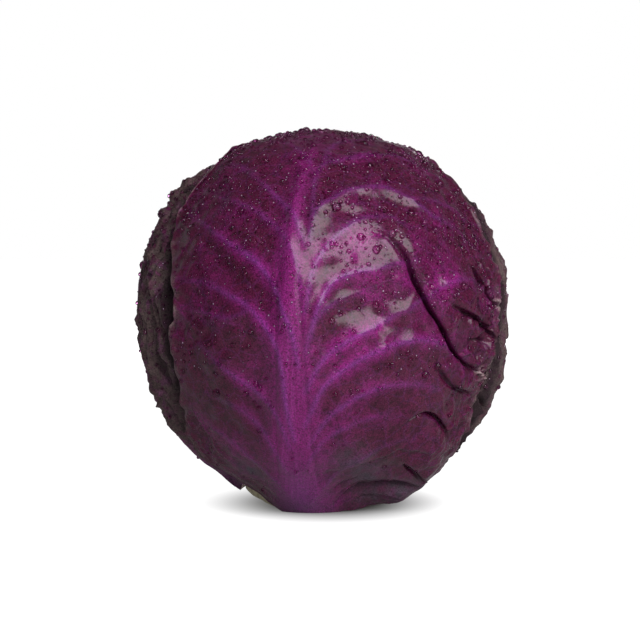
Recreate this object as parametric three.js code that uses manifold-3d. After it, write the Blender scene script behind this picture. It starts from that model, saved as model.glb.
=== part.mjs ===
// A head of red cabbage, trimmed and standing on its cut foot. The stem runs up inside the head and
// carries the leaves in a spiral. The eight outermost leaves, one round of that spiral, are separate
// shells, each pressed against the ones below it. The tightly packed leaves inside are the heart.
// Millimetres, +Z up. The origin is on the resting plane under the middle of the head, front is -Y.
import * as THREE from "three";
import Module from "manifold-3d";
import { mergeVertices } from "three/addons/utils/BufferGeometryUtils.js";

const wasm = await Module();
wasm.setup();

// ---- Driving dimensions, in millimetres and degrees ----
const HEAD_WIDTH = 160; // across, X
const HEAD_DEPTH = 155; // front to back, Y
const HEAD_HEIGHT = 164.5; // cut foot to crown, Z
const CROWN_RISE = 80; // head's middle to its crown
const SQUARENESS = 2.12; // exponent of the head's side profile: 2 is an ellipse
const FOOT_RADIUS = 25; // trimmed foot, leaf bases included
const FOOT_SLOPE = 41; // underside of the head, measured from the floor
const LAMINA = 1.2; // leaf thickness over the blade
const BASE_THICKENING = 2.4; // added where a leaf narrows to its fleshy base
const BASE_TOP = 44; // polar angle where that thickening starts
const BASE_FOOT = 18; // polar angle where it is complete
const LEAF_GAP = 0.35; // air between two leaves, and between a leaf and the stem
const RIB_HEIGHT = 3; // midrib, at the base of the leaf
const RIB_HEIGHT_TIP = 0.6; // midrib, at the tip
const RIB_HALF_WIDTH = 14; // midrib, at the base of the leaf
const RIB_HALF_WIDTH_TIP = 4; // midrib, at the tip
const LEAF_EXPONENT_UP = 2.3; // outline of the blade above its widest line
const LEAF_EXPONENT_DOWN = 3.4; // outline below it, broad down to the base
const COVER_MARGIN = 12; // how far past a leaf's edge the leaf below stays pressed in
const COVER_FADE = 14; // and over how far it then rises again
const MARGIN_WAVE = 0.025; // share by which a leaf's edge wanders
const OUTLINE_REACH = 150; // radius that the cutting wedges reach to

// Leaves from the outermost in. Each follows the last by three eighths of a turn, so the midribs fall
// on eight lines. centre is the polar angle of the blade's middle, and left, right, up and down are
// the blade's reach from there, all in degrees seen from outside.
const LEAVES = [
  { name: "leaf_1_front", azimuth: 0, centre: 97, left: 58, right: 77, up: 98, down: 94 },
  { name: "leaf_2_right_rear", azimuth: 135, centre: 95, left: 68, right: 58, up: 88, down: 92 },
  { name: "leaf_3_left", azimuth: 270, centre: 96, left: 62, right: 64, up: 90, down: 90 },
  { name: "leaf_4_right_front", azimuth: 45, centre: 94, left: 62, right: 66, up: 92, down: 90 },
  { name: "leaf_5_rear", azimuth: 180, centre: 96, left: 64, right: 62, up: 94, down: 92 },
  { name: "leaf_6_left_front", azimuth: 315, centre: 97, left: 63, right: 60, up: 90, down: 92 },
  { name: "leaf_7_right", azimuth: 90, centre: 95, left: 60, right: 64, up: 93, down: 90 },
  { name: "leaf_8_left_rear", azimuth: 225, centre: 96, left: 62, right: 61, up: 91, down: 91 },
];

// Low swelling where the front leaf bags out beside its base.
const SWELLING = { azimuth: 60, polar: 36, spread: 15, rise: 4.5 };

// Stem, as radius and height up its axis: the cut face, a collar where the leaf bases join it,
// and the core that tapers to the growing point inside the heart.
const STEM_PROFILE = [
  [0, 0],
  [18.5, 0],
  [20, 1.2],
  [28.5, 9],
  [25.5, 14],
  [18, 22],
  [13, 38],
  [8, 56],
  [3, 65],
  [0, 66],
];
const STEM_SIDES = 28;

// Lines of the angular grid that every leaf surface shares. Each midrib lies on a line, with
// closer lines beside it to carry the rib.
const LEAF_SLOTS = 8;
const SLOT_OFFSETS = [-22.5, -13.5, -4.5, 0, 4.5, 13.5];
const POLAR_ROWS = [13, 22, 31, 42, 54, 67, 80, 93, 106, 119, 132, 144, 156, 168];

const SKIN = { color: 0x5c2247, roughness: 0.36, metalness: 0 };
const INNER_SKIN = { color: 0x6d2a58, roughness: 0.45, metalness: 0 };
const STEM_FLESH = { color: 0xd9d2b4, roughness: 0.6, metalness: 0 };

// ---- The head's outer form ----
const HEAD_MIDDLE = HEAD_HEIGHT - CROWN_RISE;
const radians = THREE.MathUtils.degToRad;
const smoothstep = THREE.MathUtils.smoothstep;
const lerp = THREE.MathUtils.lerp;

// Unit vector from the head's middle. Polar angles run from straight down (0) to straight up (180),
// azimuths from the front (-Y) round to the right (+X).
function direction(azimuth, polar) {
  const [a, p] = [radians(azimuth), radians(polar)];
  return new THREE.Vector3(Math.sin(p) * Math.sin(a), -Math.sin(p) * Math.cos(a), -Math.cos(p));
}

// Degrees between two unit vectors.
function angleBetween(one, other) {
  return THREE.MathUtils.radToDeg(Math.acos(THREE.MathUtils.clamp(one.dot(other), -1, 1)));
}

// Distance from the head's middle to its outer form: a rounded, slightly square body, with a cone
// below it that runs down to the foot.
function headRadius(azimuth, polar) {
  const [a, p] = [radians(azimuth), radians(polar)];
  const across = Math.sin(p) * Math.hypot(Math.sin(a) / (HEAD_WIDTH / 2), Math.cos(a) / (HEAD_DEPTH / 2));
  const along = Math.abs(Math.cos(p)) / CROWN_RISE;
  const body = Math.pow(Math.pow(across, SQUARENESS) + Math.pow(along, SQUARENESS), -1 / SQUARENESS);
  const nearness = angleBetween(direction(azimuth, polar), direction(SWELLING.azimuth, SWELLING.polar));
  const swollen = body + SWELLING.rise * Math.exp(-((nearness / SWELLING.spread) ** 2));
  if (polar >= FOOT_SLOPE) return swollen;
  const slope = radians(FOOT_SLOPE);
  const offset = FOOT_RADIUS * Math.sin(slope) + HEAD_MIDDLE * Math.cos(slope);
  return Math.max(swollen, offset / Math.cos(p - slope));
}

// ---- The shared angular grid ----
const AZIMUTH_LINES = [];
for (let slot = 0; slot < LEAF_SLOTS; slot++)
  for (const offset of SLOT_OFFSETS) AZIMUTH_LINES.push((slot * 360) / LEAF_SLOTS + offset);

function gridPoint(azimuth, polar) {
  return { azimuth, polar, along: direction(azimuth, polar), head: headRadius(azimuth, polar) };
}

const GRID = POLAR_ROWS.flatMap((polar) => AZIMUTH_LINES.map((azimuth) => gridPoint(azimuth, polar)));
const BOTTOM_POINT = GRID.push(gridPoint(0, 0)) - 1;
const TOP_POINT = GRID.push(gridPoint(0, 180)) - 1;

// Triangles of the closed surface over that grid, facing out.
function gridTriangles() {
  const [columns, rows] = [AZIMUTH_LINES.length, POLAR_ROWS.length];
  const at = (row, column) => row * columns + (column % columns);
  const faces = [];
  for (let column = 0; column < columns; column++) {
    faces.push(BOTTOM_POINT, at(0, column + 1), at(0, column));
    faces.push(TOP_POINT, at(rows - 1, column), at(rows - 1, column + 1));
    for (let row = 0; row < rows - 1; row++) {
      faces.push(at(row, column), at(row, column + 1), at(row + 1, column + 1));
      faces.push(at(row, column), at(row + 1, column + 1), at(row + 1, column));
    }
  }
  return faces;
}
const GRID_FACES = gridTriangles();

// ---- Solids ----
function solidOf(geometry) {
  const bare = geometry.clone();
  bare.deleteAttribute("normal");
  bare.deleteAttribute("uv");
  const merged = mergeVertices(bare, 1e-4);
  return new wasm.Manifold(
    new wasm.Mesh({
      numProp: 3,
      vertProperties: new Float32Array(merged.attributes.position.array),
      triVerts: new Uint32Array(merged.index.array),
    }),
  );
}

function indexedSolid(points, faces) {
  const geometry = new THREE.BufferGeometry().setFromPoints(points);
  geometry.setIndex(faces);
  return solidOf(geometry);
}

function geometryOf(solid) {
  const { vertProperties, triVerts, numProp, numVert } = solid.getMesh();
  const positions = new Float32Array(numVert * 3);
  for (let i = 0; i < numVert; i++)
    positions.set(vertProperties.subarray(i * numProp, i * numProp + 3), i * 3);
  const geometry = new THREE.BufferGeometry();
  geometry.setAttribute("position", new THREE.BufferAttribute(positions, 3));
  geometry.setIndex(new THREE.BufferAttribute(new Uint32Array(triVerts), 1));
  geometry.computeVertexNormals();
  return geometry;
}

// The solid inside a surface given as one radius for each grid point, about the head's middle.
function starSolid(radii) {
  return indexedSolid(
    GRID.map((point, i) => point.along.clone().multiplyScalar(radii[i])),
    GRID_FACES,
  );
}

// The stem as a solid of revolution, grown outwards by clearance, with its cut face at the floor.
function stemGeometry(clearance) {
  const outline = STEM_PROFILE.map(([radius, height]) => {
    const grown = radius > 0 ? radius + clearance : 0;
    const lowered = height === 0 ? -clearance : height;
    const raised = radius === 0 && height > 0 ? height + clearance : lowered;
    return new THREE.Vector2(grown, raised);
  });
  return new THREE.LatheGeometry(outline, STEM_SIDES).rotateX(Math.PI / 2);
}

// ---- Leaves ----
// Where a direction lies on a leaf, in degrees along its surface from the blade's middle.
function placeOnLeaf(leaf, along) {
  const [a, p] = [radians(leaf.azimuth), radians(leaf.centre)];
  const middle = direction(leaf.azimuth, leaf.centre);
  const right = new THREE.Vector3(Math.cos(a), Math.sin(a), 0);
  const up = new THREE.Vector3(Math.cos(p) * Math.sin(a), -Math.cos(p) * Math.cos(a), Math.sin(p));
  const away = angleBetween(along, middle);
  const turn = Math.atan2(along.dot(up), along.dot(right));
  return { away, turn, across: away * Math.cos(turn), upward: away * Math.sin(turn) };
}

// A leaf's edge lies where this is 1. It is less inside and grows in proportion to the distance.
function reachShare(leaf, place) {
  const width = place.across < 0 ? leaf.left : leaf.right;
  const height = place.upward < 0 ? leaf.down : leaf.up;
  const exponent = place.upward < 0 ? LEAF_EXPONENT_DOWN : LEAF_EXPONENT_UP;
  const across = Math.pow(Math.abs(place.across) / width, exponent);
  const upward = Math.pow(Math.abs(place.upward) / height, exponent);
  const wander = Math.sin(7 * place.turn + leaf.azimuth) + 0.6 * Math.sin(13 * place.turn);
  return Math.pow(across + upward, 1 / exponent) / (1 + MARGIN_WAVE * wander);
}

// 1 under the leaf and a little way past its edge, then fading to 0.
function coverAt(leaf, along) {
  const place = placeOnLeaf(leaf, along);
  const share = reachShare(leaf, place);
  const outside = place.away - place.away / Math.max(share, 1e-6);
  return 1 - smoothstep(outside, COVER_MARGIN, COVER_MARGIN + COVER_FADE);
}

// Height of the midrib's rounded back above the blade.
function ribAt(leaf, point) {
  const place = placeOnLeaf(leaf, point.along);
  const share = THREE.MathUtils.clamp((place.upward + leaf.down) / (leaf.up + leaf.down), 0, 1);
  const halfWidth = lerp(RIB_HALF_WIDTH, RIB_HALF_WIDTH_TIP, Math.sqrt(share));
  const offset = (radians(place.across) * point.head) / halfWidth;
  return lerp(RIB_HEIGHT, RIB_HEIGHT_TIP, share) * Math.max(0, 1 - offset * offset);
}

function leafThickness(polar) {
  return LAMINA + BASE_THICKENING * (1 - smoothstep(polar, BASE_FOOT, BASE_TOP));
}

// Everything inside a leaf's outline, as a wedge from the head's middle.
const WEDGE_SPOKES = 44;
const WEDGE_RINGS = 5;
function outlineWedge(leaf) {
  const middle = direction(leaf.azimuth, leaf.centre);
  const [a, p] = [radians(leaf.azimuth), radians(leaf.centre)];
  const right = new THREE.Vector3(Math.cos(a), Math.sin(a), 0);
  const up = new THREE.Vector3(Math.cos(p) * Math.sin(a), -Math.cos(p) * Math.cos(a), Math.sin(p));
  const points = [new THREE.Vector3(), middle.clone().multiplyScalar(OUTLINE_REACH)];
  for (let spoke = 0; spoke < WEDGE_SPOKES; spoke++) {
    const turn = (spoke * 2 * Math.PI) / WEDGE_SPOKES;
    const unit = { away: 1, turn, across: Math.cos(turn), upward: Math.sin(turn) };
    const edge = radians(1 / reachShare(leaf, unit));
    const outward = right.clone().multiplyScalar(Math.cos(turn)).addScaledVector(up, Math.sin(turn));
    for (let ring = 1; ring <= WEDGE_RINGS; ring++) {
      const away = (edge * ring) / WEDGE_RINGS;
      const along = middle.clone().multiplyScalar(Math.cos(away)).addScaledVector(outward, Math.sin(away));
      points.push(along.multiplyScalar(OUTLINE_REACH));
    }
  }
  const at = (spoke, ring) => 2 + (spoke % WEDGE_SPOKES) * WEDGE_RINGS + ring - 1;
  const faces = [];
  for (let spoke = 0; spoke < WEDGE_SPOKES; spoke++) {
    faces.push(0, at(spoke + 1, WEDGE_RINGS), at(spoke, WEDGE_RINGS));
    faces.push(1, at(spoke, 1), at(spoke + 1, 1));
    for (let ring = 1; ring < WEDGE_RINGS; ring++) {
      faces.push(at(spoke, ring), at(spoke, ring + 1), at(spoke + 1, ring + 1));
      faces.push(at(spoke, ring), at(spoke + 1, ring + 1), at(spoke + 1, ring));
    }
  }
  return indexedSolid(points, faces);
}

// ---- The pieces, from the outside in ----
const head = new THREE.Group();
head.position.z = HEAD_MIDDLE;

const stemRoom = solidOf(stemGeometry(LEAF_GAP).translate(0, 0, -HEAD_MIDDLE));
const BLOCK = 4 * OUTLINE_REACH;
const aboveFloor = solidOf(
  new THREE.BoxGeometry(BLOCK, BLOCK, BLOCK).translate(0, 0, BLOCK / 2 - HEAD_MIDDLE),
);

function addPiece(name, solid, look) {
  const trimmed = solid.intersect(aboveFloor).subtract(stemRoom);
  const mesh = new THREE.Mesh(geometryOf(trimmed), new THREE.MeshStandardMaterial(look));
  mesh.name = name;
  head.add(mesh);
}

// depth is how far each grid point of the next leaf lies inside the head's outer form, and covered
// says how far that point is already under a leaf.
let depth = GRID.map(() => 0);
let covered = GRID.map(() => 0);
for (const leaf of LEAVES) {
  const cover = GRID.map((point) => coverAt(leaf, point.along));
  const rib = GRID.map((point) => ribAt(leaf, point));
  const thickness = GRID.map((point) => leafThickness(point.polar));
  // An open midrib stands out of the head, and one under another leaf is pressed into the head.
  const outer = GRID.map((point, i) => point.head - depth[i] + rib[i] * (1 - covered[i]));
  const inner = GRID.map((point, i) => point.head - depth[i] - thickness[i] - rib[i] * covered[i]);
  const shell = starSolid(outer).subtract(starSolid(inner));
  addPiece(leaf.name, shell.intersect(outlineWedge(leaf)), SKIN);
  depth = depth.map((d, i) => d + cover[i] * (thickness[i] + LEAF_GAP + rib[i] * covered[i]));
  covered = covered.map((c, i) => Math.max(c, cover[i]));
}
addPiece("heart", starSolid(GRID.map((point, i) => point.head - depth[i])), INNER_SKIN);

const stem = new THREE.Mesh(stemGeometry(0), new THREE.MeshStandardMaterial(STEM_FLESH));
stem.name = "stem";

const cabbage = new THREE.Group();
cabbage.add(stem, head);

export default cabbage;
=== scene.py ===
import math

import bpy
import numpy as np
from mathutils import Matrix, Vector


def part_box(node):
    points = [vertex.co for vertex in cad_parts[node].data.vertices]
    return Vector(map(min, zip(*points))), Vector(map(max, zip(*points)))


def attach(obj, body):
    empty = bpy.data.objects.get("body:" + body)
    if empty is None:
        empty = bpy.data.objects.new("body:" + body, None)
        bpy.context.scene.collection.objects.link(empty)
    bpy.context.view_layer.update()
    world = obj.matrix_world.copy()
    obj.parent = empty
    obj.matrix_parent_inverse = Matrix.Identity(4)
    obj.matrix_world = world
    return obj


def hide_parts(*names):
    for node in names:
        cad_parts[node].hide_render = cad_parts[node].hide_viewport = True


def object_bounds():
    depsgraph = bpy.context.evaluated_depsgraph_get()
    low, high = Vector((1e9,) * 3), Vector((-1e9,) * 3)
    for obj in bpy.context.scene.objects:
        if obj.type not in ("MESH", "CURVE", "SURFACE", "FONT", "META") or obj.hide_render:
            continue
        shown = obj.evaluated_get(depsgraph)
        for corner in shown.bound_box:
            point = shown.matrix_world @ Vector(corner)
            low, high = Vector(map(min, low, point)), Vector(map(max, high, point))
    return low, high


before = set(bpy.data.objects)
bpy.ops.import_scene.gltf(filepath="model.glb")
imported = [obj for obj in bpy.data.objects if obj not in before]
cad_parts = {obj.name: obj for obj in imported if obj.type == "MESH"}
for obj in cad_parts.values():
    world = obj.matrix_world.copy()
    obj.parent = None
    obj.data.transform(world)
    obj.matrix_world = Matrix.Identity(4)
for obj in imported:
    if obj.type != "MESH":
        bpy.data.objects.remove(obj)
CAD_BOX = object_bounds()

# ---- The head's form, from the frame ----
MM = 0.001
LOW, HIGH = (np.array(corner) / MM for corner in CAD_BOX)
WIDTH, DEPTH, HEIGHT = HIGH - LOW
HALF_WIDTH = 0.486 * WIDTH
HALF_DEPTH = 0.488 * DEPTH
CROWN_RISE = 0.464 * HEIGHT  # from the head's middle to its crown
MIDDLE = np.array([0.0, 0.0, 0.507 * HEIGHT])
SQUARENESS = 2.12  # exponent of the side profile: 2 is an ellipse
FOOT_RADIUS = 25.0  # trimmed foot, leaf bases included
FOOT_SLOPE = 41.0  # underside, measured from the floor
FOOT_POLAR = math.degrees(math.atan2(FOOT_RADIUS, MIDDLE[2]))
FORM_BLEND = 3.0  # rounding where the underside meets the body
# Soft swellings of the form: azimuth from the front towards +X, angle up from the foot, spread, rise.
SWELLINGS = [(58, 38, 15, 5.0), (30, 140, 20, 1.0), (-50, 146, 16, 2.6), (-92, 42, 15, -0.6),
             (-62, 36, 13, 0.6), (76, 21, 11, 6.0), (48, 28, 10, 5.6)]
MM_PER_DEGREE = math.radians(HALF_WIDTH)


def directions(lateral, along, azimuth):
    """Unit vectors from the head's middle to places on a leaf whose midrib points to azimuth.
    lateral is off the midrib, and along runs from the foot (0) by the front (90) to the crown (180)."""
    lateral, along, turn = np.radians(lateral), np.radians(along), math.radians(azimuth)
    x = np.sin(lateral)
    y = -np.cos(lateral) * np.sin(along)
    z = -np.cos(lateral) * np.cos(along)
    c, s = math.cos(turn), math.sin(turn)
    return np.stack([x * c - y * s, x * s + y * c, z], -1)


def bell(distance, width):
    """1 at no distance, falling smoothly to nothing a few widths away."""
    return np.exp(-((distance / width) ** 2))


def apart(unit, peak):
    """Degrees between unit vectors and one direction."""
    return np.degrees(np.arccos(np.clip(unit @ peak, -1, 1)))


def polar_of(unit):
    """Radians up from straight down."""
    return np.arccos(np.clip(-unit[..., 2], -1, 1))


def form_radius(unit):
    """Distance from the head's middle to its smooth outer form, along unit vectors."""
    across = np.hypot(unit[..., 0] / HALF_WIDTH, unit[..., 1] / HALF_DEPTH)
    upright = np.abs(unit[..., 2]) / CROWN_RISE
    body = (across**SQUARENESS + upright**SQUARENESS) ** (-1 / SQUARENESS)
    for azimuth, polar, spread, rise in SWELLINGS:
        a, p = math.radians(azimuth), math.radians(polar)
        peak = np.array([math.sin(p) * math.sin(a), -math.sin(p) * math.cos(a), -math.cos(p)])
        body = body + rise * bell(apart(unit, peak), spread)
    # The underside is a cone round the foot, and it falls away above its own slope.
    slope = math.radians(FOOT_SLOPE)
    offset = FOOT_RADIUS * math.sin(slope) + MIDDLE[2] * math.cos(slope)
    past = polar_of(unit) - slope
    cone = offset * np.where(past < 0, 1 / np.cos(past), np.cos(1.5 * past))
    return FORM_BLEND * np.logaddexp(body / FORM_BLEND, cone / FORM_BLEND)


def smooth(points, count):
    """A smooth line through points, as count places spaced evenly along it."""
    points = np.asarray(points, float)
    ends = 2 * points[[0, -1]] - points[[1, -2]]
    padded = np.vstack([ends[:1], points, ends[1:]])
    steps = np.linspace(0, len(points) - 1, 30 * len(points))
    start = np.minimum(steps.astype(int), len(points) - 2)
    t = (steps - start)[:, None]
    a, b, c, d = (padded[start + k] for k in range(4))
    bend = 2 * a - 5 * b + 4 * c - d + t * (3 * (b - c) + d - a)
    line = b + 0.5 * t * (c - a + t * bend)
    length = np.append(0, np.cumsum(np.linalg.norm(np.diff(line, axis=0), axis=1)))
    even = np.linspace(0, length[-1], count)
    return np.stack([np.interp(even, length, line[:, k]) for k in range(line.shape[1])], -1)


def wander(places, wavelength, seed, waves=16):
    """A smooth random value, about -2 to 2, at each place. wavelength may differ along X, Y and Z."""
    rng = np.random.default_rng(seed)
    heading = rng.normal(size=(waves, 3))
    heading /= np.linalg.norm(heading, axis=1)[:, None]
    heading *= 2 * math.pi * rng.uniform(0.65, 1.5, (waves, 1)) / np.asarray(wavelength)
    return np.sin(places @ heading.T + rng.uniform(0, 7, waves)).sum(1) / math.sqrt(waves / 2)


def step(value, low, high):
    """0 below low, 1 above high, and smooth in between."""
    t = np.clip((value - low) / (high - low), 0, 1)
    return t * t * (3 - 2 * t)


ROUTE_STEPS = 28


def beside(places, line, reach):
    """For each place: distance to the line, share of the line at its nearest point, and the side, 1 or
    -1. Places further off than reach get reach."""
    distance = np.full(len(places), float(reach))
    share, side = np.zeros(len(places)), np.ones(len(places))
    inside = (places > line.min(0) - reach) & (places < line.max(0) + reach)
    near = np.flatnonzero(inside.all(1))
    if len(near):
        span = np.diff(line, axis=0)
        offset = places[near, None] - line[:-1]
        t = np.clip((offset * span).sum(2) / (span**2).sum(1), 0, 1)
        gap = offset - t[..., None] * span
        away = np.linalg.norm(gap, axis=2)
        best, rows = away.argmin(1), np.arange(len(near))
        distance[near] = np.minimum(away[rows, best], reach)
        share[near] = (best + t[rows, best]) / len(span)
        facing = np.cross(span[best], gap[rows, best])
        side[near] = np.where((facing * places[near]).sum(1) < 0, 1, -1)
    return distance, share, side


# ---- Leaves ----
class Leaf:
    """What is drawn on one leaf. Routes are lists of (lateral, along) on it."""

    def __init__(self, name, azimuth, seed, tip, rows, columns, coarse):
        self.name, self.azimuth, self.seed, self.tip = name, azimuth, seed, tip
        self.rows, self.columns = rows, columns  # of the outer face
        self.coarse = coarse  # how many of them the inner face takes as one
        self.midrib = [(0, 14), (0, 60), (0, 100), (0, 140), (0, tip - 25)]
        self.rib_height = (3.0, 0.5)  # at the base and at the tip
        self.rib_width = (15.0, 3.0)
        self.rib_lean = 0.0  # how much broader its right flank is than its left, halfway up
        self.veins = []  # (route, height, half width, colour)
        self.folds = []  # (route, depth, half width of the groove, lip, lean towards the right side)
        self.swells = []  # (lateral, along, spread, rise)
        self.bloom = []  # (lateral, along, spread, strength) of the waxy grey patches
        self.blush = []  # (lateral, along, spread, strength) of magenta patches
        self.tears = []  # (lateral, along, radius) of torn, dried bits
        self.crumples = []  # (lateral, along, spread, height) of creased skin
        self.curl = 0.5  # how far its free edge stands up
        self.ruffle = 0.8  # and how far that goes up and down
        self.worn = None  # the lateral where weathering starts, and where it is full
        self.furrow = 0.0  # how deeply the weathered part is furrowed
        self.room = 1.0  # left for the relief under the leaf above
        self.rise_again = 0.2  # how fast it comes up beyond the edge of the leaf above
        self.base_spread = 58  # half the turn that the leaf's base takes round the foot
        self.base_cut = 0.0  # how far above the foot's edge the base was cut, in degrees
        self.base_rise = (0.0, 0.0)  # how much higher its left and right ends are, in degrees

    def heading(self, route, count=ROUTE_STEPS):
        """A route on this leaf as a line in space, about the head's middle."""
        lateral, along = smooth(route, count).T
        unit = directions(lateral, along, self.azimuth)
        return unit * form_radius(unit)[:, None]


# A plain leaf's side edge from above its base to its shoulder: share of the widest reach, and along.
SIDE_EDGE = [(0.55, 17), (0.8, 32), (0.95, 58), (1.0, 90), (0.97, 118), (0.84, 142), (0.58, 160)]


def side_edge(reach):
    """That edge as a route. A reach below 0 makes the left edge."""
    return [(reach * share, along) for share, along in SIDE_EDGE]


VEINS_A_SIDE = 9


def branch_veins(tip, left, right, rng):
    """Side veins that leave the midrib in turn to left and right, arch upwards and fork on both sides."""
    veins = []
    for side, reach in ((-1, -left), (1, right)):
        for k, start in enumerate(np.linspace(30, tip - 52, VEINS_A_SIDE)):
            start = start + 4 * side + rng.uniform(-2, 2)
            lift = rng.uniform(0.85, 1.2) * (1 + 0.25 * k / (VEINS_A_SIDE - 1))
            out = reach * rng.uniform(0.86, 0.98)
            turns = [(0.02, 0), (0.14, 8), (0.36, 16), (0.62, 21), (0.88, 20)]
            route = [(side * out * across, start + lift * rise) for across, rise in turns]
            height = 1.5 - 0.7 * k / (VEINS_A_SIDE - 1)
            veins.append((route, height, 4.5, 0.7))
            for first, bends, lower, width, colour in ((route[2], [(0.5, 25), (0.72, 32)], 0.6, 3.5, 0.45),
                                                       (route[1], [(0.3, 5), (0.5, 7)], 0.4, 3.0, 0.35)):
                fork = [first] + [(side * out * across, start + lift * rise) for across, rise in bends]
                veins.append((fork, lower * height, width, colour))
    return veins


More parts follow.
